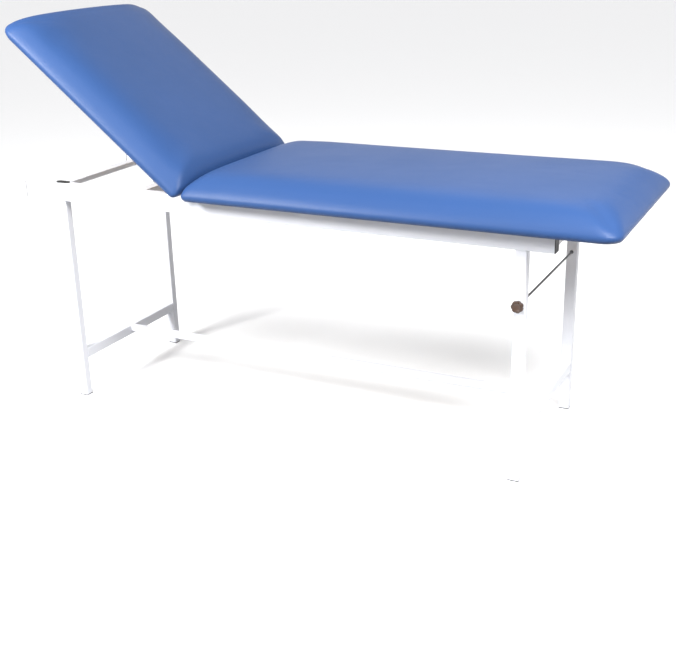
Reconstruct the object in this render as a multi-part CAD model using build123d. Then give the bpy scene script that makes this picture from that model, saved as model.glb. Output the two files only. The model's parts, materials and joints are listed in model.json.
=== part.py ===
from build123d import *
import os

os.makedirs("parts", exist_ok=True)

# ---- driving dimensions, mm: X runs head to foot, Y across, Z up from the floor ----
total_len = 1727.0        # rail head end to seat foot end with the backrest raised
head_end = -total_len / 2
cap_flange = 2.0          # plastic flange closing each rail end
rail_len = 1565.0
rail_h, rail_w, wall = 50.0, 30.0, 2.0
rail_top = 660.0
frame_w = 508.0           # over the outer rail faces
leg_x, leg_y = 30.0, 25.0
head_leg_at = 121.5       # leg centres from the head end of the frame
foot_leg_at = 1487.0
foot_pad = 3.0
base_top, base_bar, stretcher = 147.0, 30.0, 20.0
head_bar_h = 15.0
mid_bar = 30.0
foot_bar_inset = 9.0

hinge_at = 543.0          # backrest pivot from the head end of the frame
hinge_z = 650.0
raised = 39.0             # backrest angle at rest, degrees
pad_w = 622.0
pad_t = 66.0
board_t = 15.0
skin = 1.5                # vinyl cover
nose = 48.0               # rounding of the upper edges
tuck, tuck_skin = 10.0, 0.7  # rounding of the lower edges, and the cover left under it
corner_free, corner_joint = 62.0, 50.0
seat_at = 574.0           # seat head end from the head end of the frame
back_under = 663.0        # underside of the lowered backrest
back_gap = 2.5            # backrest end behind its pivot
back_len = 676.0

pin_d, pin_fit = 10.0, 0.05
arc_r_in, arc_r_out, arc_t = 232.0, 256.0, 6.0
arc_low = 55.0            # lower end of the arc bar, degrees below the pivot
clamp_tilt = 5.0
clamp_d = 8.0
rod_d, rod_z = 6.0, 474.0
rod_knob_d = 31.0

rail_x0 = head_end + cap_flange
rail_x1 = rail_x0 + rail_len
rail_bot = rail_top - rail_h
in_y = frame_w / 2 - rail_w          # inner rail face
leg_line = frame_w / 2 - rail_w / 2  # legs stand under the middle of the rails
out_y = frame_w / 2
head_leg = head_end + head_leg_at
foot_leg = head_end + foot_leg_at
hx = head_end + hinge_at
seat_x0 = head_end + seat_at
seat_x1 = total_len / 2
back_x1 = hx - back_gap
back_x0 = back_x1 - back_len
arc_mid = (arc_r_in + arc_r_out) / 2
mid_bar_x = hx - 199.0               # centre of the middle crossbar
clamp_r = arc_r_out + clamp_d / 2 + 2


def save(name, *solids):
    shape = solids[0] if len(solids) == 1 else Compound(children=list(solids))
    export_step(shape, f"parts/{name}.step")
    print(name, len(solids), round(sum(s.volume for s in solids) / 1000, 2), "cm3")


def block(x0, x1, y0, y1, z0, z1):
    centre = Pos((x0 + x1) / 2, (y0 + y1) / 2, (z0 + z1) / 2)
    return centre * Box(x1 - x0, y1 - y0, z1 - z0)


def rod_y(x, z, d, y0, y1):
    return Pos(x, (y0 + y1) / 2, z) * Rot(90, 0, 0) * Cylinder(d / 2, abs(y1 - y0))


def rod_z_dir(x, y, d, z0, z1):
    return Pos(x, y, (z0 + z1) / 2) * Cylinder(d / 2, z1 - z0)


def tube_section(a, b, t, r=3.0):
    return RectangleRounded(a, b, r) - RectangleRounded(a - 2 * t, b - 2 * t, max(r - t, 0.8))


def tube_x(x0, x1, y, z, wide, high, t):
    return Pos(x0, y, z) * extrude(Plane.YZ * tube_section(wide, high, t), x1 - x0)


def tube_y(y0, y1, x, z, wide, high, t):
    return Pos(x, y1, z) * extrude(Plane.XZ * tube_section(wide, high, t), y1 - y0)


def tube_z(z0, z1, x, y, a, b, t):
    return Pos(x, y, z0) * extrude(tube_section(a, b, t), z1 - z0)


def raise_back(shape):
    return Pos(hx, 0, hinge_z) * Rot(0, raised, 0) * Pos(-hx, 0, -hinge_z) * shape


# ---- steel frame ----
def rails():
    mid_z = rail_top - rail_h / 2
    return [tube_x(rail_x0, rail_x1, s * (out_y - rail_w / 2), mid_z, rail_w, rail_h, wall)
            for s in (-1, 1)]


def leg(x, side, drilled):
    y = side * leg_line
    body = tube_z(foot_pad, rail_bot, x, y, leg_x, leg_y, wall)
    if drilled:
        body -= rod_y(x, rod_z, rod_d + 4, y - leg_y, y + leg_y)
    return body


def end_plug(x, y, outward):
    """Push-in cap for a rail end: flange outside, plug inside the tube."""
    flange = Pos(x + outward * cap_flange / 2, y, rail_top - rail_h / 2) * Rot(0, 90, 0) * extrude(
        RectangleRounded(rail_h, rail_w, 3.0), cap_flange / 2, both=True)
    section = RectangleRounded(rail_w - 2 * wall - 0.2, rail_h - 2 * wall - 0.2, 2.0)
    plug = Pos(x - 22, y, rail_top - rail_h / 2) * extrude(Plane.YZ * section, 22)
    if outward < 0:
        plug = plug.moved(Location((22, 0, 0)))
    return flange + plug


def foot_plug(x, y):
    flange = Pos(x, y, 0) * extrude(RectangleRounded(leg_x, leg_y, 3.0), foot_pad)
    flange = chamfer(flange.faces().sort_by(Axis.Z)[0].edges(), 0.8)
    clear = 2 * wall + 0.2
    return flange + Pos(x, y, foot_pad) * extrude(
        RectangleRounded(leg_x - clear, leg_y - clear, 2.0), 24)


near_rail, far_rail = rails()
save("rail_near", near_rail)
save("rail_far", far_rail)
for where, x in (("head", head_leg), ("foot", foot_leg)):
    for side, s in (("near", -1), ("far", 1)):
        save(f"leg_{where}_{side}", leg(x, s, where == "foot"))
    y_in = leg_line - leg_y / 2
    save(f"base_bar_{where}", tube_y(-y_in, y_in, x, base_top - base_bar / 2,
                                     base_bar, base_bar, wall))
save("base_stretcher", tube_x(head_leg + base_bar / 2, foot_leg - base_bar / 2, 0,
                              base_top - stretcher / 2, stretcher, stretcher, 1.5))
save("crossbar_head", tube_y(-in_y, in_y, head_leg, rail_top - head_bar_h / 2,
                             leg_x, head_bar_h, 1.5))
save("crossbar_middle", tube_y(-in_y, in_y, mid_bar_x, rail_bot + 2 + mid_bar / 2,
                               mid_bar, mid_bar, wall))
foot_bar_x = rail_x1 - foot_bar_inset - rail_w / 2
save("crossbar_foot", tube_y(-in_y, in_y, foot_bar_x, rail_top - rail_h / 2,
                             rail_w, rail_h, wall))
save("rail_end_caps", *[end_plug(x, s * (out_y - rail_w / 2), d)
                        for x, d in ((rail_x0, -1), (rail_x1, 1)) for s in (-1, 1)])
save("leg_feet", *[foot_plug(x, s * leg_line)
                   for x in (head_leg, foot_leg) for s in (-1, 1)])


# ---- upholstered pads ----
def pad_plan(x0, x1, width, r0, r1):
    plan = Pos((x0 + x1) / 2, 0) * Rectangle(x1 - x0, width)
    plan = fillet([v for v in plan.vertices() if abs(v.X - x0) < 0.01], r0)
    return fillet([v for v in plan.vertices()
                   if abs(v.X - x1) < 0.01 and abs(abs(v.Y) - width / 2) < 0.01], r1)


def pad_block(x0, x1, z0, z1, inset, r0, r1):
    plan = pad_plan(x0 + inset, x1 - inset, pad_w - 2 * inset, r0 - inset, r1 - inset)
    body = Pos(0, 0, z0) * extrude(plan, z1 - z0 - inset)
    body = fillet(body.faces().sort_by(Axis.Z)[-1].edges(), nose - inset)
    lower = tuck - inset + tuck_skin if inset else tuck
    return fillet(body.faces().sort_by(Axis.Z)[0].edges(), lower)


def pad(x0, x1, z0, r0, r1, holes):
    """Board, foam and vinyl cover of one pad, underside at z0."""
    outer = pad_block(x0, x1, z0, z0 + pad_t, 0, r0, r1)
    inner = pad_block(x0, x1, z0, z0 + pad_t, skin, r0, r1)
    slab = block(x0 - 5, x1 + 5, -pad_w, pad_w, z0 - 5, z0 + board_t)
    board = inner & slab
    for x, y in holes:
        board -= rod_z_dir(x, y, 4.5, z0, z0 + 12)
    return board, inner - slab, outer - inner


tab_x = [seat_x0 + 120, seat_x0 + 500, seat_x0 + 880]
tab_spots = [(x, s * (in_y - 16)) for x in tab_x for s in (-1, 1)]
leaf_y = in_y - 5 - 0.5                    # outer face of the moving hinge leaf
leaf_spots = [(hx - d, s * (leaf_y - 22)) for d in (45, 105, 165) for s in (-1, 1)]
arc_spots = [(hx - arc_mid + dx, dy) for dx in (-24, 24) for dy in (-20, 20)]

seat_board, seat_foam, seat_cover = pad(seat_x0, seat_x1, rail_top,
                                        corner_joint, corner_free, tab_spots)
back_board, back_foam, back_cover = pad(back_x0, back_x1, back_under,
                                        corner_free, corner_joint, leaf_spots + arc_spots)
save("seat_board", seat_board)
save("seat_foam", seat_foam)
save("seat_cover", seat_cover)
save("backrest_board", raise_back(back_board))
save("backrest_foam", raise_back(back_foam))
save("backrest_cover", raise_back(back_cover))


# ---- seat fixings ----
def screw(x, y, z_plate, through):
    """Pan-head screw from below; z_plate is the lower face of the plate it holds."""
    head = Pos(x, y, z_plate - 1.4) * Cylinder(4.5, 2.8)
    head = fillet(head.faces().sort_by(Axis.Z)[0].edges(), 1.2)
    return head + rod_z_dir(x, y, 4.5, z_plate, z_plate + through + 11)


def seat_tab(x, s):
    plate = block(x - 15, x + 15, min(s * in_y, s * (in_y - 30)), max(s * in_y, s * (in_y - 30)),
                  rail_top - 4, rail_top)
    return plate - rod_z_dir(x, s * (in_y - 16), 4.5, rail_top - 5, rail_top + 1)


def buffer(s):
    """Flat rubber block that the lowered backrest lies on."""
    plan = Pos(head_leg, s * (in_y + 10)) * SlotOverall(44, 18)
    return Pos(0, 0, rail_top) * extrude(plan, back_under - 0.3 - rail_top)


save("seat_tabs", *[seat_tab(x, s) for x in tab_x for s in (-1, 1)])
save("seat_screws", *[screw(x, y, rail_top - 4, 4) for x, y in tab_spots])
save("backrest_buffers", *[buffer(s) for s in (-1, 1)])


# ---- backrest hinges ----
def plate_xz(profile, y0, y1):
    return Pos(0, max(y0, y1), 0) * extrude(Plane.XZ * profile, abs(y1 - y0))


def hinge_lug(s):
    arm = Pos(hx, hinge_z - 14) * Rectangle(24, 28) + Pos(hx, hinge_z) * Circle(12)
    return plate_xz(arm, s * (in_y - 5), s * in_y) - rod_y(hx, hinge_z, pin_d, -in_y, in_y)


def hinge_leaf(s):
    eye = Pos(hx, hinge_z) * Circle(12)
    arm = Pos(hx - 42, (hinge_z - 5 + back_under) / 2) * Rectangle(84, back_under - hinge_z + 5)
    side = plate_xz(eye + arm, s * (leaf_y - 5), s * leaf_y)
    flange = block(hx - 190, hx - 14, min(s * leaf_y, s * (leaf_y - 38)),
                   max(s * leaf_y, s * (leaf_y - 38)), back_under - 4, back_under)
    leaf = side + flange - rod_y(hx, hinge_z, pin_d + 2 * pin_fit, -in_y, in_y)
    for x, y in leaf_spots:
        leaf -= rod_z_dir(x, y, 4.5, back_under - 5, back_under + 1)
    return leaf


def hinge_pin(s):
    shank = rod_y(hx, hinge_z, pin_d, s * (leaf_y - 5.5), s * in_y)
    return shank + rod_y(hx, hinge_z, 17, s * (leaf_y - 5.5), s * (leaf_y - 11))


save("hinge_lugs", *[hinge_lug(s) for s in (-1, 1)])
save("hinge_leaves", *[raise_back(hinge_leaf(s)) for s in (-1, 1)])
save("hinge_pins", *[hinge_pin(s) for s in (-1, 1)])


# ---- arc bar and clamp that hold the backrest angle ----
def wedge(a0, a1, r):
    pts = [(0, 0)]
    for a in (a0, (a0 + a1) / 2, a1):
        v = Vector(-r, 0).rotate(Axis.Z, a)
        pts.append((v.X, v.Y))
    return make_face(Polyline(*pts, close=True))


def arc_bar():
    ring = (Circle(arc_r_out) - Circle(arc_r_in)) & wedge(-8, arc_low, 420)
    band = Pos(hx, 0, hinge_z) * plate_xz(ring, -arc_t / 2, arc_t / 2)
    top = back_under - 4
    band -= block(hx - 400, hx, -20, 20, top, top + 60)
    x = hx - arc_mid
    foot = block(x - 34, x + 34, -30, 30, top, back_under)
    for px, py in arc_spots:
        foot -= rod_z_dir(px, py, 4.5, top - 1, back_under + 1)
    return band + foot


clamp_at = Vector(-clamp_r, 0).rotate(Axis.Z, clamp_tilt)
cx, cz = hx + clamp_at.X, hinge_z + clamp_at.Y
cheek_y = arc_t / 2 + 0.5


def cheek(s):
    plate = block(cx - 11, mid_bar_x - mid_bar / 2, min(s * cheek_y, s * (cheek_y + 5)),
                  max(s * cheek_y, s * (cheek_y + 5)), rail_bot + 2, rail_bot + 2 + mid_bar)
    return plate - rod_y(cx, cz, clamp_d, -20, 20)


def clamp_bolt():
    y0 = cheek_y + 5
    head = Pos(cx, -y0, cz) * extrude(Plane.XZ * RegularPolygon(7.5, 6), 5.5)
    return head + rod_y(cx, cz, clamp_d, -y0, y0 + 26)


def clamp_knob():
    y0 = cheek_y + 7.2
    grip = Circle(20)
    for i in range(6):
        grip -= Rot(0, 0, 60 * i) * Pos(24, 0) * Circle(7.5)
    body = Pos(cx, y0 + 26, cz) * extrude(Plane.XZ * grip, 18)
    hub = rod_y(cx, cz, 20, y0, y0 + 10)
    body = body + hub
    return body - rod_y(cx, cz, clamp_d + 2 * pin_fit, y0 - 1, y0 + 24.5)


save("arc_bar", raise_back(arc_bar()))
save("clamp_cheeks", cheek(-1), cheek(1))
save("clamp_bolt", clamp_bolt())
washer = rod_y(cx, cz, 20, cheek_y + 5, cheek_y + 7) - rod_y(cx, cz, clamp_d, 0, 30)
save("clamp_washer", washer)
save("clamp_knob", clamp_knob())
save("backrest_screws", *[raise_back(screw(x, y, back_under - 4, 4))
                          for x, y in leaf_spots + arc_spots])


# ---- paper roll rod through the foot legs ----
def rod_bush(s):
    y_in, y_out = s * (leg_line - leg_y / 2), s * (leg_line + leg_y / 2)
    body = rod_y(foot_leg, rod_z, rod_d + 4, y_in, y_out)
    body += rod_y(foot_leg, rod_z, 15, y_out, y_out + s * bush_flange)
    return body - rod_y(foot_leg, rod_z, rod_d + 2 * pin_fit, y_in - s * 9, y_out + s * 9)


def rod_knob():
    """Scalloped round knob with a hub, threaded on the rod's near end."""
    grip, scallops, scallop_r, scallop_depth = Circle(rod_knob_d / 2), 7, 6.8, 1.2
    scallop_at = rod_knob_d / 2 + scallop_r - scallop_depth
    for i in range(scallops):
        grip -= Rot(0, 0, 360 / scallops * i) * Pos(scallop_at, 0) * Circle(scallop_r)
    disc = Pos(foot_leg, rod_in - 6, rod_z) * extrude(Plane.XZ * grip, 12)
    disc = chamfer(disc.faces().sort_by(Axis.Y)[0].edges(), 0.8)
    disc += rod_y(foot_leg, rod_z, 17, rod_in, rod_in - 7)
    return disc - rod_y(foot_leg, rod_z, rod_d, rod_in + 1, rod_in - 12)


def rod_nut():
    """Domed nut on the rod's far end."""
    hexagon = Pos(foot_leg, rod_out + 5, rod_z) * extrude(Plane.XZ * RegularPolygon(7.2, 6), 5)
    dome = rod_y(foot_leg, rod_z, 11, rod_out + 5, rod_out + 10)
    dome = fillet(dome.faces().sort_by(Axis.Y)[-1].edges(), 4.0)
    return hexagon + dome - rod_y(foot_leg, rod_z, rod_d, rod_out - 1, rod_out + 7)


bush_flange, end_play = 1.5, 0.5
rod_out = leg_line + leg_y / 2 + bush_flange + end_play
rod_in = -rod_out
save("rod_bushes", rod_bush(-1), rod_bush(1))
save("paper_rod", rod_y(foot_leg, rod_z, rod_d, rod_in - 12, rod_out + 7))
save("rod_knob", rod_knob())
save("rod_nut", rod_nut())
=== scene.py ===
# Padded examination couch with a raising backrest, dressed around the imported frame.
# Everything is in metres, X from head to foot, Y across, Z up from the floor.
import json
import math
import random

import bmesh
import bpy
from mathutils import Matrix, Vector, noise


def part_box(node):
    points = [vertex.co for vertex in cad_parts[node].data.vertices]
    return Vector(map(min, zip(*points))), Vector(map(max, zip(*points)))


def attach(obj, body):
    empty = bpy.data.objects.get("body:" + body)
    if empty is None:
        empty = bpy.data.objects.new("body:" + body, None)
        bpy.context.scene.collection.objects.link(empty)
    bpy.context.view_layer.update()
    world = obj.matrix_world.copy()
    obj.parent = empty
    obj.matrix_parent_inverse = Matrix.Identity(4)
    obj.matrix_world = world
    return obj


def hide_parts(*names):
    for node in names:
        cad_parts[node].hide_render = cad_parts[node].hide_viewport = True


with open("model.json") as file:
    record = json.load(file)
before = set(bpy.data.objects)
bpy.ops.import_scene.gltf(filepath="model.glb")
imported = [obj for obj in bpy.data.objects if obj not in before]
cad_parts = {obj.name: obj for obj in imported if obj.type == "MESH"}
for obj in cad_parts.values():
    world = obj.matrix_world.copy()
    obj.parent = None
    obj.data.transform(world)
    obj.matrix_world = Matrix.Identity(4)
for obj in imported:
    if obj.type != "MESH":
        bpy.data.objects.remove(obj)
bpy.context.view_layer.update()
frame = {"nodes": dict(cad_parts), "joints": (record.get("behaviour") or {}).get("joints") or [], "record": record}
nodes = frame["nodes"]
mm = 0.001
print("frame loaded,", len(nodes), "nodes")


def srgb(hexCode):
    # one hex colour to linear RGBA
    parts = [int(hexCode[i:i + 2], 16) / 255 for i in (1, 3, 5)]
    return [p / 12.92 if p <= 0.04045 else ((p + 0.055) / 1.055) ** 2.4 for p in parts] + [1.0]


def addNode(material, kind, settings=None, links=None):
    tree = material.node_tree
    node = tree.nodes.new(kind)
    for key, value in (settings or {}).items():
        if isinstance(key, str) and hasattr(node, key):
            setattr(node, key, value)
        else:
            node.inputs[key].default_value = value
    for key, source in (links or {}).items():
        tree.links.new(source, node.inputs[key])
    return node


def newMaterial(name, surface):
    # an empty material with a Principled shader that has the given sockets set
    material = bpy.data.materials.new(name)
    material.use_nodes = True
    material.node_tree.nodes.clear()
    shader = addNode(material, "ShaderNodeBsdfPrincipled", surface)
    addNode(material, "ShaderNodeOutputMaterial", None, {"Surface": shader.outputs["BSDF"]})
    return material, shader


def mottle(material, shader, look):
    # slow change of colour and of roughness over the surface
    place = addNode(material, "ShaderNodeTexCoord")
    drift = addNode(material, "ShaderNodeTexNoise",
                    {"Scale": 1 / look["patch"], "Detail": 3.0, "Roughness": 0.55},
                    {"Vector": place.outputs["Object"]})
    tint = addNode(material, "ShaderNodeMix",
                   {"data_type": "RGBA", 6: srgb(look["colour"]), 7: srgb(look["worn"])},
                   {0: drift.outputs["Fac"]})
    gloss = addNode(material, "ShaderNodeMapRange",
                    {"From Min": 0.3, "From Max": 0.7,
                     "To Min": look["rough"][0], "To Max": look["rough"][1]},
                    {"Value": drift.outputs["Fac"]})
    links = material.node_tree.links
    links.new(tint.outputs[2], shader.inputs["Base Color"])
    links.new(gloss.outputs["Result"], shader.inputs["Roughness"])
    return place.outputs["Object"]


def bumpOn(material, shader, height, depth, strength=1.0, under=None):
    # one layer of relief, depth in metres, on top of an earlier layer if there is one
    links = {"Height": height}
    if under is not None:
        links["Normal"] = under.outputs["Normal"]
    relief = addNode(material, "ShaderNodeBump", {"Distance": depth, "Strength": strength}, links)
    material.node_tree.links.new(relief.outputs["Normal"], shader.inputs["Normal"])
    return relief


# upholstery vinyl: calendered PVC with a fine embossed leather grain, soft satin shine
vinylLook = {"colour": "#2d4877", "worn": "#2a446f", "patch": 0.34,
             "rough": (0.34, 0.40), "shine": 0.18,
             "grain": 0.0026, "grainDepth": 0.0002, "grainStrength": 0.6, "creaseWidth": 0.28,
             "slack": 0.085, "slackDepth": 0.0011}


def blueVinyl():
    material, shader = newMaterial("upholsteryVinylBlue",
                                   {"IOR": 1.48, "Specular IOR Level": vinylLook["shine"]})
    where = mottle(material, shader, vinylLook)
    # real grain is about 1 mm, drawn at 2.6 mm so that it shows
    cells = addNode(material, "ShaderNodeTexVoronoi",
                    {"feature": "DISTANCE_TO_EDGE", "Scale": 1 / vinylLook["grain"], "Randomness": 0.9},
                    {"Vector": where})
    creases = addNode(material, "ShaderNodeMapRange",
                      {"From Min": 0.0, "From Max": vinylLook["creaseWidth"], "To Min": 0.0, "To Max": 1.0},
                      {"Value": cells.outputs["Distance"]})
    # slow waves where the cover lies a little slack over the foam
    slack = addNode(material, "ShaderNodeTexNoise", {"Scale": 1 / vinylLook["slack"], "Detail": 2.0},
                    {"Vector": where})
    soft = bumpOn(material, shader, slack.outputs["Fac"], vinylLook["slackDepth"])
    bumpOn(material, shader, creases.outputs["Result"], vinylLook["grainDepth"],
           vinylLook["grainStrength"], soft)
    return material


# epoxy powder coat on steel: satin, with a fine orange peel; near white, and black on the clamp's steel
whiteCoat = {"colour": "#e4e5eb", "worn": "#dcdee4", "patch": 0.12, "rough": (0.3, 0.4),
             "peel": 0.0032, "peelDepth": 0.00012}
blackCoat = {"colour": "#17181a", "worn": "#202124", "patch": 0.05, "rough": (0.36, 0.5),
             "peel": 0.0025, "peelDepth": 0.0001}


def powderCoat(name, look):
    material, shader = newMaterial(name, {"IOR": 1.5, "Coat Weight": 0.15, "Coat Roughness": 0.15})
    where = mottle(material, shader, look)
    peel = addNode(material, "ShaderNodeTexNoise", {"Scale": 1 / look["peel"], "Detail": 1.5},
                   {"Vector": where})
    bumpOn(material, shader, peel.outputs["Fac"], look["peelDepth"])
    return material


# injection moulded polypropylene: black, matt spark-eroded skin
mouldedLook = {"colour": "#121315", "worn": "#1b1c1f", "patch": 0.02, "rough": (0.5, 0.66),
               "grit": 0.0009, "gritDepth": 0.00006}
# moulded rubber: duller and a little grey with dust
rubberLook = {"colour": "#151514", "worn": "#242321", "patch": 0.015, "rough": (0.72, 0.88),
              "grit": 0.0014, "gritDepth": 0.0001}


def mouldedSkin(name, look):
    material, shader = newMaterial(name, {"IOR": 1.49})
    where = mottle(material, shader, look)
    grit = addNode(material, "ShaderNodeTexNoise", {"Scale": 1 / look["grit"], "Detail": 3.0},
                   {"Vector": where})
    bumpOn(material, shader, grit.outputs["Fac"], look["gritDepth"])
    return material


# moulded phenolic: dark brown with a fine marbled flow, polished; the knob's hub face is duller
brownLook = {"colour": "#2e1a0b", "worn": "#3b2413", "patch": 0.006, "rough": (0.25, 0.38),
             "flow": 0.004, "flowDepth": 0.00008, "flowStrength": 0.4}
brownFaceLook = {"colour": "#352013", "worn": "#422b1b", "patch": 0.005, "rough": (0.38, 0.5),
                 "flow": 0.003, "flowDepth": 0.0001, "flowStrength": 0.4}


def marbledPhenolic(name, look):
    material, shader = newMaterial(name, {"IOR": 1.5, "Coat Weight": 0.05, "Coat Roughness": 0.2})
    where = mottle(material, shader, look)
    flow = addNode(material, "ShaderNodeTexWave", {"wave_type": "BANDS", "Scale": 1 / look["flow"],
                                                   "Distortion": 6.0, "Detail": 2.0}, {"Vector": where})
    bumpOn(material, shader, flow.outputs["Fac"], look["flowDepth"], look["flowStrength"])
    return material


# bright zinc plate: thin blue-grey plate with soft spangle
zincLook = {"colour": "#b9bdc2", "worn": "#a2a5a8", "patch": 0.006, "rough": (0.28, 0.42),
            "lay": 0.0006, "layDepth": 0.00003, "stretch": (1.0, 1.0, 1.0)}
# cold drawn steel: darker, with fine draw lines along the rod
drawnLook = {"colour": "#7d7f82", "worn": "#6b6c6e", "patch": 0.05, "rough": (0.3, 0.42),
             "lay": 0.0008, "layDepth": 0.00004, "stretch": (1.0, 0.02, 1.0)}


def bareSteel(name, look):
    material, shader = newMaterial(name, {"Metallic": 1.0})
    where = mottle(material, shader, look)
    drawn = addNode(material, "ShaderNodeMapping", {"Scale": look["stretch"]}, {"Vector": where})
    lines = addNode(material, "ShaderNodeTexNoise", {"Scale": 1 / look["lay"], "Detail": 2.0},
                    {"Vector": drawn.outputs["Vector"]})
    bumpOn(material, shader, lines.outputs["Fac"], look["layDepth"])
    return material


# birch plywood: pale rotary-cut face with long grain and fine open pores
plyLook = {"pale": "#d9bb8c", "dark": "#b98f5c", "rough": 0.62, "ring": 0.03, "alongGrain": 0.12,
           "poresPerMetre": 900.0, "poreDepth": 0.0001}


def birchPlywood():
    material, shader = newMaterial("birchPlywood", {"IOR": 1.45, "Roughness": plyLook["rough"]})
    place = addNode(material, "ShaderNodeTexCoord")
    along = addNode(material, "ShaderNodeMapping", {"Scale": (plyLook["alongGrain"], 1.0, 1.0)},
                    {"Vector": place.outputs["Object"]})
    figure = addNode(material, "ShaderNodeTexNoise",
                     {"Scale": 1 / plyLook["ring"], "Detail": 6.0, "Distortion": 1.4},
                     {"Vector": along.outputs["Vector"]})
    pores = addNode(material, "ShaderNodeTexNoise", {"Scale": plyLook["poresPerMetre"], "Detail": 2.0},
                    {"Vector": along.outputs["Vector"]})
    face = addNode(material, "ShaderNodeMix",
                   {"data_type": "RGBA", 6: srgb(plyLook["pale"]), 7: srgb(plyLook["dark"])},
                   {0: figure.outputs["Fac"]})
    material.node_tree.links.new(face.outputs[2], shader.inputs["Base Color"])
    bumpOn(material, shader, pores.outputs["Fac"], plyLook["poreDepth"])
    return material


finishes = {
    "vinyl": blueVinyl(),
    "white": powderCoat("epoxyPowderCoatWhite", whiteCoat),
    "black": powderCoat("epoxyPowderCoatBlack", blackCoat),
    "plastic": mouldedSkin("mouldedPolypropylene", mouldedLook),
    "rubber": mouldedSkin("mouldedRubber", rubberLook),
    "brown": marbledPhenolic("phenolicBrown", brownLook),
    "brownFace": marbledPhenolic("phenolicBrownFace", brownFaceLook),
    "zinc": bareSteel("zincPlatedSteel", zincLook),
    "drawn": bareSteel("drawnSteel", drawnLook),
    "ply": birchPlywood(),
}
# which finish each material slot of the frame gets
slotFinish = {"white_enamel": "white", "black_enamel": "black", "black_plastic": "plastic",
              "black_rubber": "rubber", "plywood": "ply", "zinc_steel": "zinc",
              "rod_steel": "drawn", "brown_plastic": "brown", "blue_vinyl": "vinyl", "foam": "vinyl"}
for part in frame["record"]["subparts"]:
    node = nodes[part["node"]]
    node.data.materials.clear()
    node.data.materials.append(finishes[slotFinish[part["material_slot"]]])
print("materials made,", len(finishes))


def finishPiece(bm, name, materials, body, smooth=True):
    # turns a bmesh into a named piece that rides on a body
    mesh = bpy.data.meshes.new(name)
    bmesh.ops.recalc_face_normals(bm, faces=bm.faces)
    for face in bm.faces:
        face.smooth = smooth
    bm.to_mesh(mesh)
    bm.free()
    piece = bpy.data.objects.new(name, mesh)
    bpy.context.scene.collection.objects.link(piece)
    for material in materials:
        mesh.materials.append(material)
    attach(piece, body)
    return piece


# each pad is made lying flat round its own middle, with its underside at z = 0;
# toFlat is the turn that lays the raised backrest down
hinge = next(j for j in frame["joints"] if j["name"] == "backrest_hinge")
pivot = Vector(hinge["pos_m"])
toFlat = (Matrix.Translation(pivot) @ Matrix.Rotation(math.radians(hinge["range_deg"][0]), 4, "Y")
          @ Matrix.Translation(-pivot))


def flatBox(node, place):
    # box of a node once it is turned by place
    corners = [place @ v.co for v in nodes[node].data.vertices]
    low = Vector([min(c[i] for c in corners) for i in range(3)])
    high = Vector([max(c[i] for c in corners) for i in range(3)])
    return low, high


padShape = {
    "rollHigh": 0.056, "rollPower": 1.05,  # the upper edge rolls down almost to the board
    # inset and height of the rows where the vinyl turns under the board, from just above its underside
    "tuckRows": ((0.0062, 0.0006), (0.0036, 0.0022), (0.0011, 0.0054), (0.0, 0.0100)),
    # rows up the side of the roll, and the angles in degrees where they start, end and reach the top
    "sideRows": 6, "sideFrom": 7, "sideTo": 45, "topAt": 90,
    "crown": 0.007, "crownStart": 0.1,  # rise of the middle, and the share of it taken off all over
    "cellsLong": 88, "cellsAcross": 54, "crowding": 0.42,
    "even": 7, "calm": 30, "calmFrom": 0.4,  # smoothing passes all over and on the top
}
# how the cover is blown up; the two swells cap how far it may go up and sideways
blow = {"pressure": 4.0, "mass": 0.3, "stretch": 15, "bend": 0.6, "frames": 20,
        "swell": 0.0065, "sideSwell": 0.0012, "heldUpTo": 0.0165}
# roll: how far in it reaches at the head end, the foot end and the long sides;
# radii: at each end, the plan radius at the lower edge and at the top; bulge: how far each end bulges;
# fullHead: the crown runs out to the head end at full height
seatShape = {"roll": (0.032, 0.062, 0.062), "radii": ((0.011, 0.040), (0.040, 0.085)),
             "bulge": (0.003, 0.0), "fullHead": False}
backShape = {"roll": (0.026, 0.022, 0.058), "radii": ((0.036, 0.062), (0.011, 0.032)),
             "bulge": (0.0, 0.003), "fullHead": True}
nothing = 1e-6  # shorter lengths count as none


def crowd(u, amount):
    # pushes grid lines towards the ends of -1..1, where the shape turns
    return u + amount * math.sin(math.pi * u) / math.pi


def ringPoint(x, y, start, goal, half, radii):
    # takes a point of the rectangle lying start in from the edges to the rounded one lying goal in;
    # both give the insets of the head end, the foot end and the long sides
    low, high, side = -half.x + start[0], half.x - start[1], half.y - start[2]
    newLow, newHigh, newSide = -half.x + goal[0], half.x - goal[1], half.y - goal[2]
    if start != goal:
        x = newLow + (x - low) * (newHigh - newLow) / (high - low)
        y *= newSide / side
    radius = radii[0] if x < 0 else radii[1]
    qx = max(newLow + radii[0], min(newHigh - radii[1], x))
    qy = max(radius - newSide, min(newSide - radius, y))
    dx, dy = x - qx, y - qy
    far = math.hypot(dx, dy)
    if far > nothing * mm:
        reach = max(abs(dx), abs(dy)) / far
        dx, dy = dx * reach, dy * reach
    return qx + dx, qy + dy


def rollAt(turn):
    # share of the roll's width and height at this angle up from its foot
    power = padShape["rollPower"]
    return 1 - max(0.0, math.cos(turn)) ** power, math.sin(turn) ** power


def insets(shape, share, z):
    # insets of the head end, the foot end and the long sides at this height of the side
    bulge = math.sin(math.pi * min(1.0, z / padThick))
    low, high, side = (r * share for r in shape["roll"])
    return low - shape["bulge"][0] * bulge, high - shape["bulge"][1] * bulge, side


def lift(bm, faces, height):
    # pushes a copy of the faces up by height, with walls between
    grown = bmesh.ops.extrude_face_region(bm, geom=faces, use_keep_orig=True)
    lifted = [g for g in grown["geom"] if isinstance(g, bmesh.types.BMVert)]
    bmesh.ops.translate(bm, vec=(0, 0, height), verts=lifted)


def upright(bm, least):
    # the edges that rise by more than least
    return [e for e in bm.edges if abs(e.verts[0].co.z - e.verts[1].co.z) > least]


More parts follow.
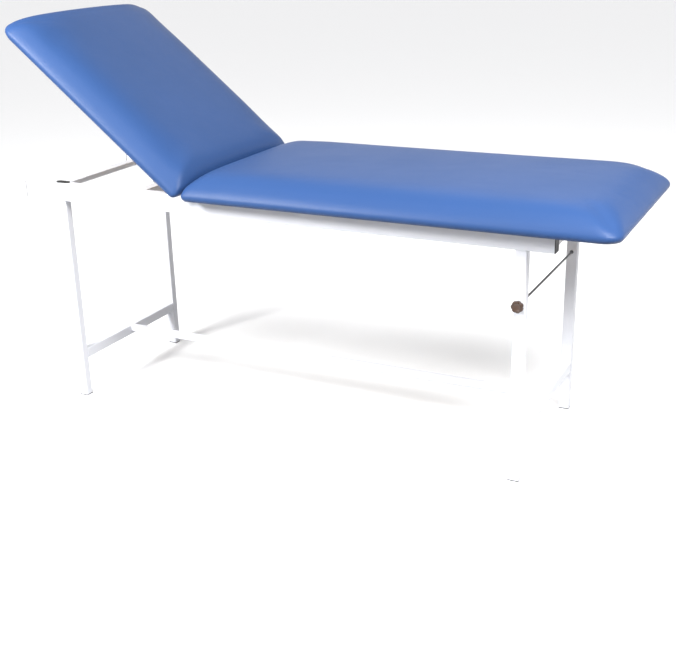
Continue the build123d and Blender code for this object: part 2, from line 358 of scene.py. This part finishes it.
def cushionMesh(half, shape):
    # a grid extruded into a box, then every row put on its rounded outline
    lowRows = padShape["tuckRows"]
    tuck, underside = lowRows[0]
    foot = padThick - padShape["rollHigh"]
    first, last = padShape["sideFrom"], padShape["sideTo"]
    turns = [math.radians(first + (last - first) * i / (padShape["sideRows"] - 1))
             for i in range(padShape["sideRows"])]
    rows = len(lowRows) + len(turns)
    bm = bmesh.new()
    bmesh.ops.create_grid(bm, x_segments=padShape["cellsLong"],
                          y_segments=padShape["cellsAcross"], size=1.0)
    lift(bm, bm.faces[:], 1)
    bmesh.ops.subdivide_edges(bm, edges=upright(bm, 0.5), cuts=rows - 2)
    reachHead, reachFoot, reachSide = shape["roll"]
    ringMost = half.y / reachSide
    edgeRadii = [r[0] for r in shape["radii"]]
    for v in bm.verts:
        x = half.x * crowd(v.co.x, padShape["crowding"])
        y = half.y * crowd(v.co.y, padShape["crowding"])
        depth = min(half.x - abs(x), half.y - abs(y))
        # how many roll widths in from the nearest edge
        ring = min((half.x + x) / reachHead, (half.x - x) / reachFoot, (half.y - abs(y)) / reachSide)
        row = round(v.co.z * (rows - 1))
        if row == 0 and depth > nothing:
            goal = depth + tuck * (1 - depth / half.y)
            v.co.x, v.co.y = ringPoint(x, y, (depth,) * 3, (goal,) * 3, half, edgeRadii)
            v.co.z = underside
            continue
        start = (0.0,) * 3
        if row < len(lowRows):
            inset, z = lowRows[row]
            goal = (inset,) * 3
            radii = edgeRadii
        else:
            share, up = rollAt(turns[row - len(lowRows)])
            if row == rows - 1 and depth > nothing:
                turn = min(padShape["topAt"], last + (padShape["topAt"] - last) * ring)
                share, up = rollAt(math.radians(turn))
                start = (reachHead * ring, reachFoot * ring, reachSide * ring)
            lengthwise = 1 if x < 0 and shape["fullHead"] else 1 - (x / half.x) ** 4
            rise = (1 - (y / half.y) ** 2) * lengthwise
            z = foot + up * (padShape["rollHigh"] + padShape["crown"] * (rise - padShape["crownStart"]))
            goal = insets(shape, share, z) if ring < 1 else start
            fade = 1 - max(0.0, (ring - 1) / (ringMost - 1))
            radii = [(r[0] + (r[1] - r[0]) * share) * fade for r in shape["radii"]]
        v.co.x, v.co.y = ringPoint(x, y, start, goal, half, radii)
        v.co.z = z
    return bm


def smoothed(piece, above, passes, heightOnly):
    # evens out the mesh higher up than above; height only leaves the outline where it is
    bm = bmesh.new()
    bm.from_mesh(piece.data)
    free = [v for v in bm.verts if v.co.z > above]
    for _ in range(passes):
        bmesh.ops.smooth_vert(bm, verts=free, factor=0.5, use_axis_x=not heightOnly,
                              use_axis_y=not heightOnly, use_axis_z=True)
    bm.to_mesh(piece.data)
    bm.free()


def swell(piece):
    # the cover is blown up a little from inside, with its lower edge held as staples hold it
    mesh = piece.data
    before = [v.co.copy() for v in mesh.vertices]
    held = piece.vertex_groups.new(name="held")
    held.add([v.index for v in mesh.vertices if v.co.z < blow["heldUpTo"]], 1.0, "REPLACE")
    cloth = piece.modifiers.new("cover", "CLOTH")
    cloth.settings.quality = 5
    cloth.settings.mass = blow["mass"]
    cloth.settings.tension_stiffness = blow["stretch"]
    cloth.settings.compression_stiffness = blow["stretch"]
    cloth.settings.bending_stiffness = blow["bend"]
    cloth.settings.use_pressure = True
    cloth.settings.uniform_pressure_force = blow["pressure"]
    cloth.settings.effector_weights.gravity = 0.0
    cloth.settings.vertex_group_mass = "held"
    cloth.collision_settings.use_collision = False
    cloth.point_cache.frame_start = 1
    cloth.point_cache.frame_end = blow["frames"]
    scene = bpy.context.scene
    for step in range(1, blow["frames"] + 1):
        scene.frame_set(step)
    blown = piece.evaluated_get(bpy.context.evaluated_depsgraph_get()).data
    after = [v.co.copy() for v in blown.vertices]
    piece.modifiers.remove(cloth)
    scene.frame_set(1)
    for v, old, new in zip(mesh.vertices, before, after):
        move = new - old
        side = Vector((move.x, move.y, 0))
        if side.length > nothing * mm:
            side *= blow["sideSwell"] * math.tanh(side.length / blow["sideSwell"]) / side.length
        up = blow["swell"] * math.tanh(move.z / blow["swell"])
        v.co = old + side + Vector((0, 0, up))
    piece.vertex_groups.remove(held)
    smoothed(piece, blow["heldUpTo"], padShape["even"], False)


def subdivideOnce(piece):
    smooth = piece.modifiers.new("smooth", "SUBSURF")
    smooth.levels = smooth.render_levels = 1
    made = bpy.data.meshes.new_from_object(piece.evaluated_get(bpy.context.evaluated_depsgraph_get()))
    piece.modifiers.remove(smooth)
    old = piece.data
    piece.data = made
    bpy.data.meshes.remove(old)


gather = {"folds": 7, "deep": 0.0011, "high": 0.020, "sharp": 0.6, "middle": 0.7, "cornerLeast": 0.03,
          "pull": 0.0006, "pullEvery": 0.092, "startAbove": 0.0002}


def gatherEdge(piece, half, shape):
    # small pleats round each corner's lower edge, and faint pulls at the staples along the sides
    for v in piece.data.vertices:
        fade = 1 - v.co.z / gather["high"]
        if fade <= 0 or v.co.z < padShape["tuckRows"][0][1] + gather["startAbove"]:
            continue
        radius = max(shape["radii"][0 if v.co.x < 0 else 1][0], gather["cornerLeast"])
        cx, cy = half.x - radius, half.y - radius
        dx, dy = abs(v.co.x) - cx, abs(v.co.y) - cy
        if dx > 0 and dy > 0:
            turn = math.atan2(dy, dx)
            wave = abs(math.sin(turn * gather["folds"])) ** gather["sharp"]
            edge = math.sin(2 * turn) ** 0.5
            push = gather["deep"] * (wave - gather["middle"]) * fade * edge
            v.co.x += math.copysign(push * math.cos(turn), v.co.x)
            v.co.y += math.copysign(push * math.sin(turn), v.co.y)
        else:
            along = v.co.x if dy > dx else v.co.y
            wave = 0.5 - 0.5 * math.cos(2 * math.pi * along / gather["pullEvery"])
            push = gather["pull"] * fade * fade * wave
            if dy > dx:
                v.co.y += math.copysign(push, v.co.y)
            else:
                v.co.x += math.copysign(push, v.co.x)


def lyingFlat(coverNode, place):
    # half length and width of a pad turned by place, and the move that takes a piece made round
    # the middle of its underside to where the pad is at rest
    low, high = flatBox(coverNode, place)
    centre = Vector(((low.x + high.x) / 2, (low.y + high.y) / 2, low.z))
    half = Vector(((high.x - low.x) / 2, (high.y - low.y) / 2))
    return half, place.inverted() @ Matrix.Translation(centre)


def makeCushion(name, coverNode, foamNode, body, place, shape):
    half, toPlace = lyingFlat(coverNode, place)
    cushion = finishPiece(cushionMesh(half, shape), name, [finishes["vinyl"]], body)
    swell(cushion)
    # the top again, so that the roll runs into the crown without a ridge
    smoothed(cushion, padThick * padShape["calmFrom"], padShape["calm"], True)
    subdivideOnce(cushion)
    gatherEdge(cushion, half, shape)
    cushion.data.transform(toPlace)
    for face in cushion.data.polygons:
        face.use_smooth = True
    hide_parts(coverNode, foamNode)
    print(name, "made,", len(cushion.data.polygons), "faces")


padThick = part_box("seat_cover")[1].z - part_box("seat_cover")[0].z
makeCushion("seatPad", "seat_cover", "seat_foam", "frame", Matrix.Identity(4), seatShape)
makeCushion("backrestPad", "backrest_cover", "backrest_foam", "backrest", toFlat, backShape)


# the vinyl is turned under each board and stapled along its hem
hem = {"wide": 0.033, "thick": 0.0010, "startIn": 0.0052, "cells": (150, 86), "crowding": 0.7,
       "wander": 0.0022, "wanderEvery": 22, "turnedUp": 0.0012, "sunk": 0.0003,
       "stapleEvery": 0.046, "stapleIn": 0.022, "staple": (0.0105, 0.0012, 0.0006),
       "stapleProud": 0.0002, "stapleRound": 0.00022, "stapleTilt": 9}


def hemRing(half, shape):
    bm = bmesh.new()
    bmesh.ops.create_grid(bm, x_segments=hem["cells"][0], y_segments=hem["cells"][1], size=1.0)
    for v in bm.verts:
        v.co.x = half.x * crowd(v.co.x, hem["crowding"])
        v.co.y = half.y * crowd(v.co.y, hem["crowding"])
    inside = [f for f in bm.faces if min(half.x - abs(f.calc_center_median().x),
                                         half.y - abs(f.calc_center_median().y)) > hem["wide"]]
    bmesh.ops.delete(bm, geom=inside, context="FACES")
    radii = [r[0] for r in shape["radii"]]
    for v in bm.verts:
        depth = min(half.x - abs(v.co.x), half.y - abs(v.co.y))
        share = min(1.0, depth / hem["wide"])
        spot = Vector((v.co.x * hem["wanderEvery"], v.co.y * hem["wanderEvery"], 3.1))
        # the cut edge wanders, the turned edge is straight
        wander = noise.noise(spot) * hem["wander"] * share ** 3
        inset = hem["startIn"] + depth + wander
        x, y = ringPoint(v.co.x, v.co.y, (depth,) * 3, (inset,) * 3, half, radii)
        v.co = Vector((x, y, hem["turnedUp"] * (1 - share) ** 4 - hem["sunk"] * share))
    lift(bm, bm.faces[:], -hem["thick"])
    return bm


def stapleSpots(half):
    # place and turn of each staple, side by side along the long edges and then along the ends
    spots = []
    reach = Vector((half.x - hem["stapleIn"], half.y - hem["stapleIn"]))
    for count, across in ((round(2 * reach.x / hem["stapleEvery"]), False),
                          (round(2 * reach.y / hem["stapleEvery"]), True)):
        for i in range(1, count):
            along = (2 * i / count - 1) * (reach.y if across else reach.x)
            for side in (-1, 1):
                if across:
                    spots.append((side * reach.x, along, math.pi / 2))
                else:
                    spots.append((along, side * reach.y, 0.0))
    return spots


def stapleSet(half, shape, seed):
    dice = random.Random(seed)
    bm = bmesh.new()
    size = Matrix.Diagonal((*hem["staple"], 1))
    for x, y, turn in stapleSpots(half):
        radius = shape["radii"][0 if x < 0 else 1][0]
        if abs(x) > half.x - radius and abs(y) > half.y - radius:
            continue  # none in the gathered corners
        made = bmesh.ops.create_cube(bm, size=1.0)
        tilt = turn + math.radians(dice.uniform(-hem["stapleTilt"], hem["stapleTilt"]))
        shift = Matrix.Translation((x, y, -hem["thick"] - hem["stapleProud"]))
        bmesh.ops.transform(bm, matrix=shift @ Matrix.Rotation(tilt, 4, "Z") @ size, verts=made["verts"])
    bmesh.ops.bevel(bm, geom=bm.edges[:], offset=hem["stapleRound"], affect="EDGES", segments=1,
                    profile=0.5, material=-1)
    return bm


def makeHem(prefix, coverNode, body, place, shape, seed):
    half, toPlace = lyingFlat(coverNode, place)
    for name, bm, finish, slotName in (
            (prefix + "Hem", hemRing(half, shape), "vinyl", "blue_vinyl"),
            (prefix + "Staples", stapleSet(half, shape, seed), "zinc", "zinc_steel")):
        bmesh.ops.transform(bm, matrix=toPlace, verts=bm.verts)
        finishPiece(bm, name, [finishes[finish]], body, smooth=False)


makeHem("seat", "seat_cover", "frame", Matrix.Identity(4), seatShape, 4)
makeHem("backrest", "backrest_cover", "backrest", toFlat, backShape, 7)
print("hems and staples made")


# weld beads round the tube ends
bead = {"radius": 0.0019, "sides": 8, "ripple": 0.0026, "rippleDepth": 0.16, "cornerGap": 0.003,
        "wander": 0.0003, "wanderAlong": 90, "wanderBetween": 40}


def addBead(bm, start, end):
    # one rippled bead from start to end, made upright and then turned into place
    length = (end - start).length
    one = bmesh.new()
    bmesh.ops.create_cone(one, cap_ends=True, segments=bead["sides"], radius1=bead["radius"],
                          radius2=bead["radius"], depth=length)
    bmesh.ops.subdivide_edges(one, edges=upright(one, length * 0.5),
                              cuts=max(4, round(length / bead["ripple"] * 2)))
    between, along = bead["wanderBetween"], bead["wanderAlong"]
    for v in one.verts:
        taper = 1 - 0.5 * abs(2 * v.co.z / length) ** 8
        scale = taper * (1 + bead["rippleDepth"] * math.sin(2 * math.pi * v.co.z / bead["ripple"]))
        spot = Vector((start.x * between + v.co.z * along, start.y * between, start.z * between))
        wander = noise.noise(spot) * bead["wander"]
        v.co.x = v.co.x * scale + wander
        v.co.y = v.co.y * scale - wander
    turn = (end - start).to_track_quat("Z", "Y").to_matrix().to_4x4()
    bmesh.ops.transform(one, matrix=Matrix.Translation((start + end) / 2) @ turn, verts=one.verts)
    carrier = bpy.data.meshes.new("bead")
    one.to_mesh(carrier)
    one.free()
    bm.from_mesh(carrier)
    bpy.data.meshes.remove(carrier)


def weldRound(bm, node, axis, atHigh, sides=("+a", "-a", "+b", "-b")):
    # beads on the sides of a tube's end; axis is the tube's own axis, a and b are the other two
    low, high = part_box(node)
    a, b = [i for i in range(3) if i != axis]
    for side in sides:
        across, along = (a, b) if side[1] == "a" else (b, a)
        start, end = Vector((0, 0, 0)), Vector((0, 0, 0))
        start[axis] = end[axis] = high[axis] if atHigh else low[axis]
        start[across] = end[across] = high[across] if side[0] == "+" else low[across]
        start[along] = low[along] + bead["cornerGap"]
        end[along] = high[along] - bead["cornerGap"]
        addBead(bm, start, end)


flushAbove = ("+a", "-a", "-b")  # no bead on top, where the two faces are flush
welds = bmesh.new()
for legName in ("leg_head_near", "leg_head_far", "leg_foot_near", "leg_foot_far"):
    weldRound(welds, legName, 2, True)
for barName in ("base_bar_head", "base_bar_foot", "crossbar_middle"):
    for endHigh in (False, True):
        weldRound(welds, barName, 1, endHigh)
for barName in ("crossbar_head", "crossbar_foot"):
    for endHigh in (False, True):
        weldRound(welds, barName, 1, endHigh, flushAbove)
for endHigh in (False, True):
    weldRound(welds, "base_stretcher", 0, endHigh, flushAbove)
finishPiece(welds, "weldBeads", [finishes["white"]], "frame")
print("welds made")


# scalloped knob on the near end of the paper rod
knob = {"scallops": 7, "depth": 0.085, "steps": 84, "scallopFrom": 0.0112, "scallopBlend": 0.003,
        "hubRadius": 0.009, "hubDeep": 0.003, "join": 0.00002,
        # radius and distance back from the front face, in mm
        "profile": [(0.0, 1.3), (4.0, 1.2), (8.6, 0.9), (9.2, 0.2), (10.2, 0.0), (12.6, 0.1), (14.4, 0.9),
                    (15.4, 2.6), (15.5, 4.6), (15.5, 8.0), (15.0, 10.4), (13.4, 11.8), (10.5, 12.3),
                    (8.8, 12.6), (8.4, 13.4), (8.3, 18.2), (7.4, 18.9), (3.2, 18.9)]}


def makeKnob():
    low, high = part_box("rod_knob")
    front, back = low.y, high.y
    stretch = (back - front) / (knob["profile"][-1][1] * mm)
    bm = bmesh.new()
    line = [bm.verts.new((r * mm, front + d * mm * stretch, 0)) for r, d in knob["profile"]]
    edges = [bm.edges.new(pair) for pair in zip(line, line[1:])]
    bmesh.ops.spin(bm, geom=line + edges, cent=(0, 0, 0), axis=(0, 1, 0), dvec=(0, 0, 0),
                   angle=2 * math.pi, steps=knob["steps"], use_merge=True, use_duplicate=False)
    bmesh.ops.remove_doubles(bm, verts=bm.verts[:], dist=knob["join"])
    for v in bm.verts:
        r = math.hypot(v.co.x, v.co.z)
        if r > knob["scallopFrom"]:
            wave = 0.5 + 0.5 * math.cos(knob["scallops"] * math.atan2(v.co.z, v.co.x))
            blend = min(1.0, (r - knob["scallopFrom"]) / knob["scallopBlend"])
            scale = 1 - knob["depth"] * wave ** 2 * blend
            v.co.x *= scale
            v.co.z *= scale
    for face in bm.faces:
        middle = face.calc_center_median()
        if math.hypot(middle.x, middle.z) < knob["hubRadius"] and middle.y < front + knob["hubDeep"]:
            face.material_index = 1
    centre = Vector(((low.x + high.x) / 2, 0, (low.z + high.z) / 2))
    bmesh.ops.translate(bm, vec=centre, verts=bm.verts)
    grip = finishPiece(bm, "rodKnobGrip", [finishes["brown"], finishes["brownFace"]],
                       "paper_rod")
    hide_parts("rod_knob")


makeKnob()
print("knob made")


# floor, light and camera
studio = {"floor": "#ffffff", "floorHalf": 45.0, "worldStrength": 0.92,
          # tone at each height, 0 straight down, 0.5 at the horizon and 1 straight up
          "sky": ((0.0, "#8c8c8e"), (0.40, "#a4a4a6"), (0.50, "#ffffff"), (0.56, "#ffffff"),
                  (0.66, "#b4b4b6"))}
floorMesh = bpy.data.meshes.new("studioFloor")
floorGrid = bmesh.new()
bmesh.ops.create_grid(floorGrid, x_segments=8, y_segments=8, size=studio["floorHalf"])
floorGrid.to_mesh(floorMesh)
floorGrid.free()
floor = bpy.data.objects.new("studioFloor", floorMesh)
bpy.context.scene.collection.objects.link(floor)
floorPaint, _ = newMaterial("paintedFloor", {"Base Color": srgb(studio["floor"]), "Roughness": 0.7})
floorMesh.materials.append(floorPaint)
floor.visible_diffuse = False  # the floor shows pale but throws no light up under the pads

world = bpy.data.worlds.new("studioWorld")
world.use_nodes = True
background = world.node_tree.nodes["Background"]
direction = addNode(world, "ShaderNodeTexCoord")
towards = addNode(world, "ShaderNodeSeparateXYZ", links={"Vector": direction.outputs["Generated"]})
# brightest round the horizon, dimmer overhead and dimmest underneath
height = addNode(world, "ShaderNodeMapRange", {"From Min": -1.0}, {"Value": towards.outputs["Z"]})
sky = addNode(world, "ShaderNodeValToRGB", links={"Fac": height.outputs["Result"]})
for stop, (at, tone) in enumerate(studio["sky"]):
    step = sky.color_ramp.elements[stop] if stop < 2 else sky.color_ramp.elements.new(at)
    step.position = at
    step.color = srgb(tone)
world.node_tree.links.new(sky.outputs["Color"], background.inputs["Color"])
background.inputs["Strength"].default_value = studio["worldStrength"]
bpy.context.scene.world = world

# a wide soft sun from the near side, two softboxes for the shine on the rolls, and one from behind
sunLamp = {"from": (0.08, -0.72, 1.0), "power": 1.8, "spread": 45}
softboxes = {
    "footBox": {"at": (1.7, -0.9, 2.3), "aim": (0.75, -0.1, 0.7), "size": 1.0, "power": 100},
    "headBox": {"at": (-1.25, -1.75, 1.75), "aim": (-0.7, -0.3, 0.95), "size": 0.7, "power": 88},
    "backBox": {"at": (-0.6, 2.6, 3.0), "aim": (0.0, 0.0, 0.6), "size": 2.2, "power": 12},
}


def addLamp(name, kind, place, aim):
    lamp = bpy.data.lights.new(name, kind)
    holder = bpy.data.objects.new(name, lamp)
    holder.location = place
    holder.rotation_euler = (Vector(aim) - Vector(place)).to_track_quat("-Z", "Y").to_euler()
    bpy.context.scene.collection.objects.link(holder)
    return lamp


sun = addLamp("sun", "SUN", sunLamp["from"], (0, 0, 0))
sun.energy = sunLamp["power"]
sun.angle = math.radians(sunLamp["spread"])
for name, box in softboxes.items():
    lamp = addLamp(name, "AREA", box["at"], box["aim"])
    lamp.shape = "SQUARE"
    lamp.size = box["size"]
    lamp.energy = box["power"]

lens = {"at": (1.3308, -2.6129, 1.3344), "heading": 26.8, "dip": 20.7, "roll": -1.47, "focal": 57.49}
camera = bpy.data.objects.new("camera", bpy.data.cameras.new("camera"))
camera.data.lens = lens["focal"]
camera.data.sensor_width = 36.0
camera.data.clip_end = 200.0
camera.matrix_world = (Matrix.Translation(lens["at"])
                       @ Matrix.Rotation(math.radians(lens["heading"]), 4, "Z")
                       @ Matrix.Rotation(math.radians(90 - lens["dip"]), 4, "X")
                       @ Matrix.Rotation(math.radians(lens["roll"]), 4, "Z"))
bpy.context.scene.collection.objects.link(camera)
bpy.context.scene.camera = camera
bpy.context.scene.view_settings.view_transform = "Standard"
print("studio ready")
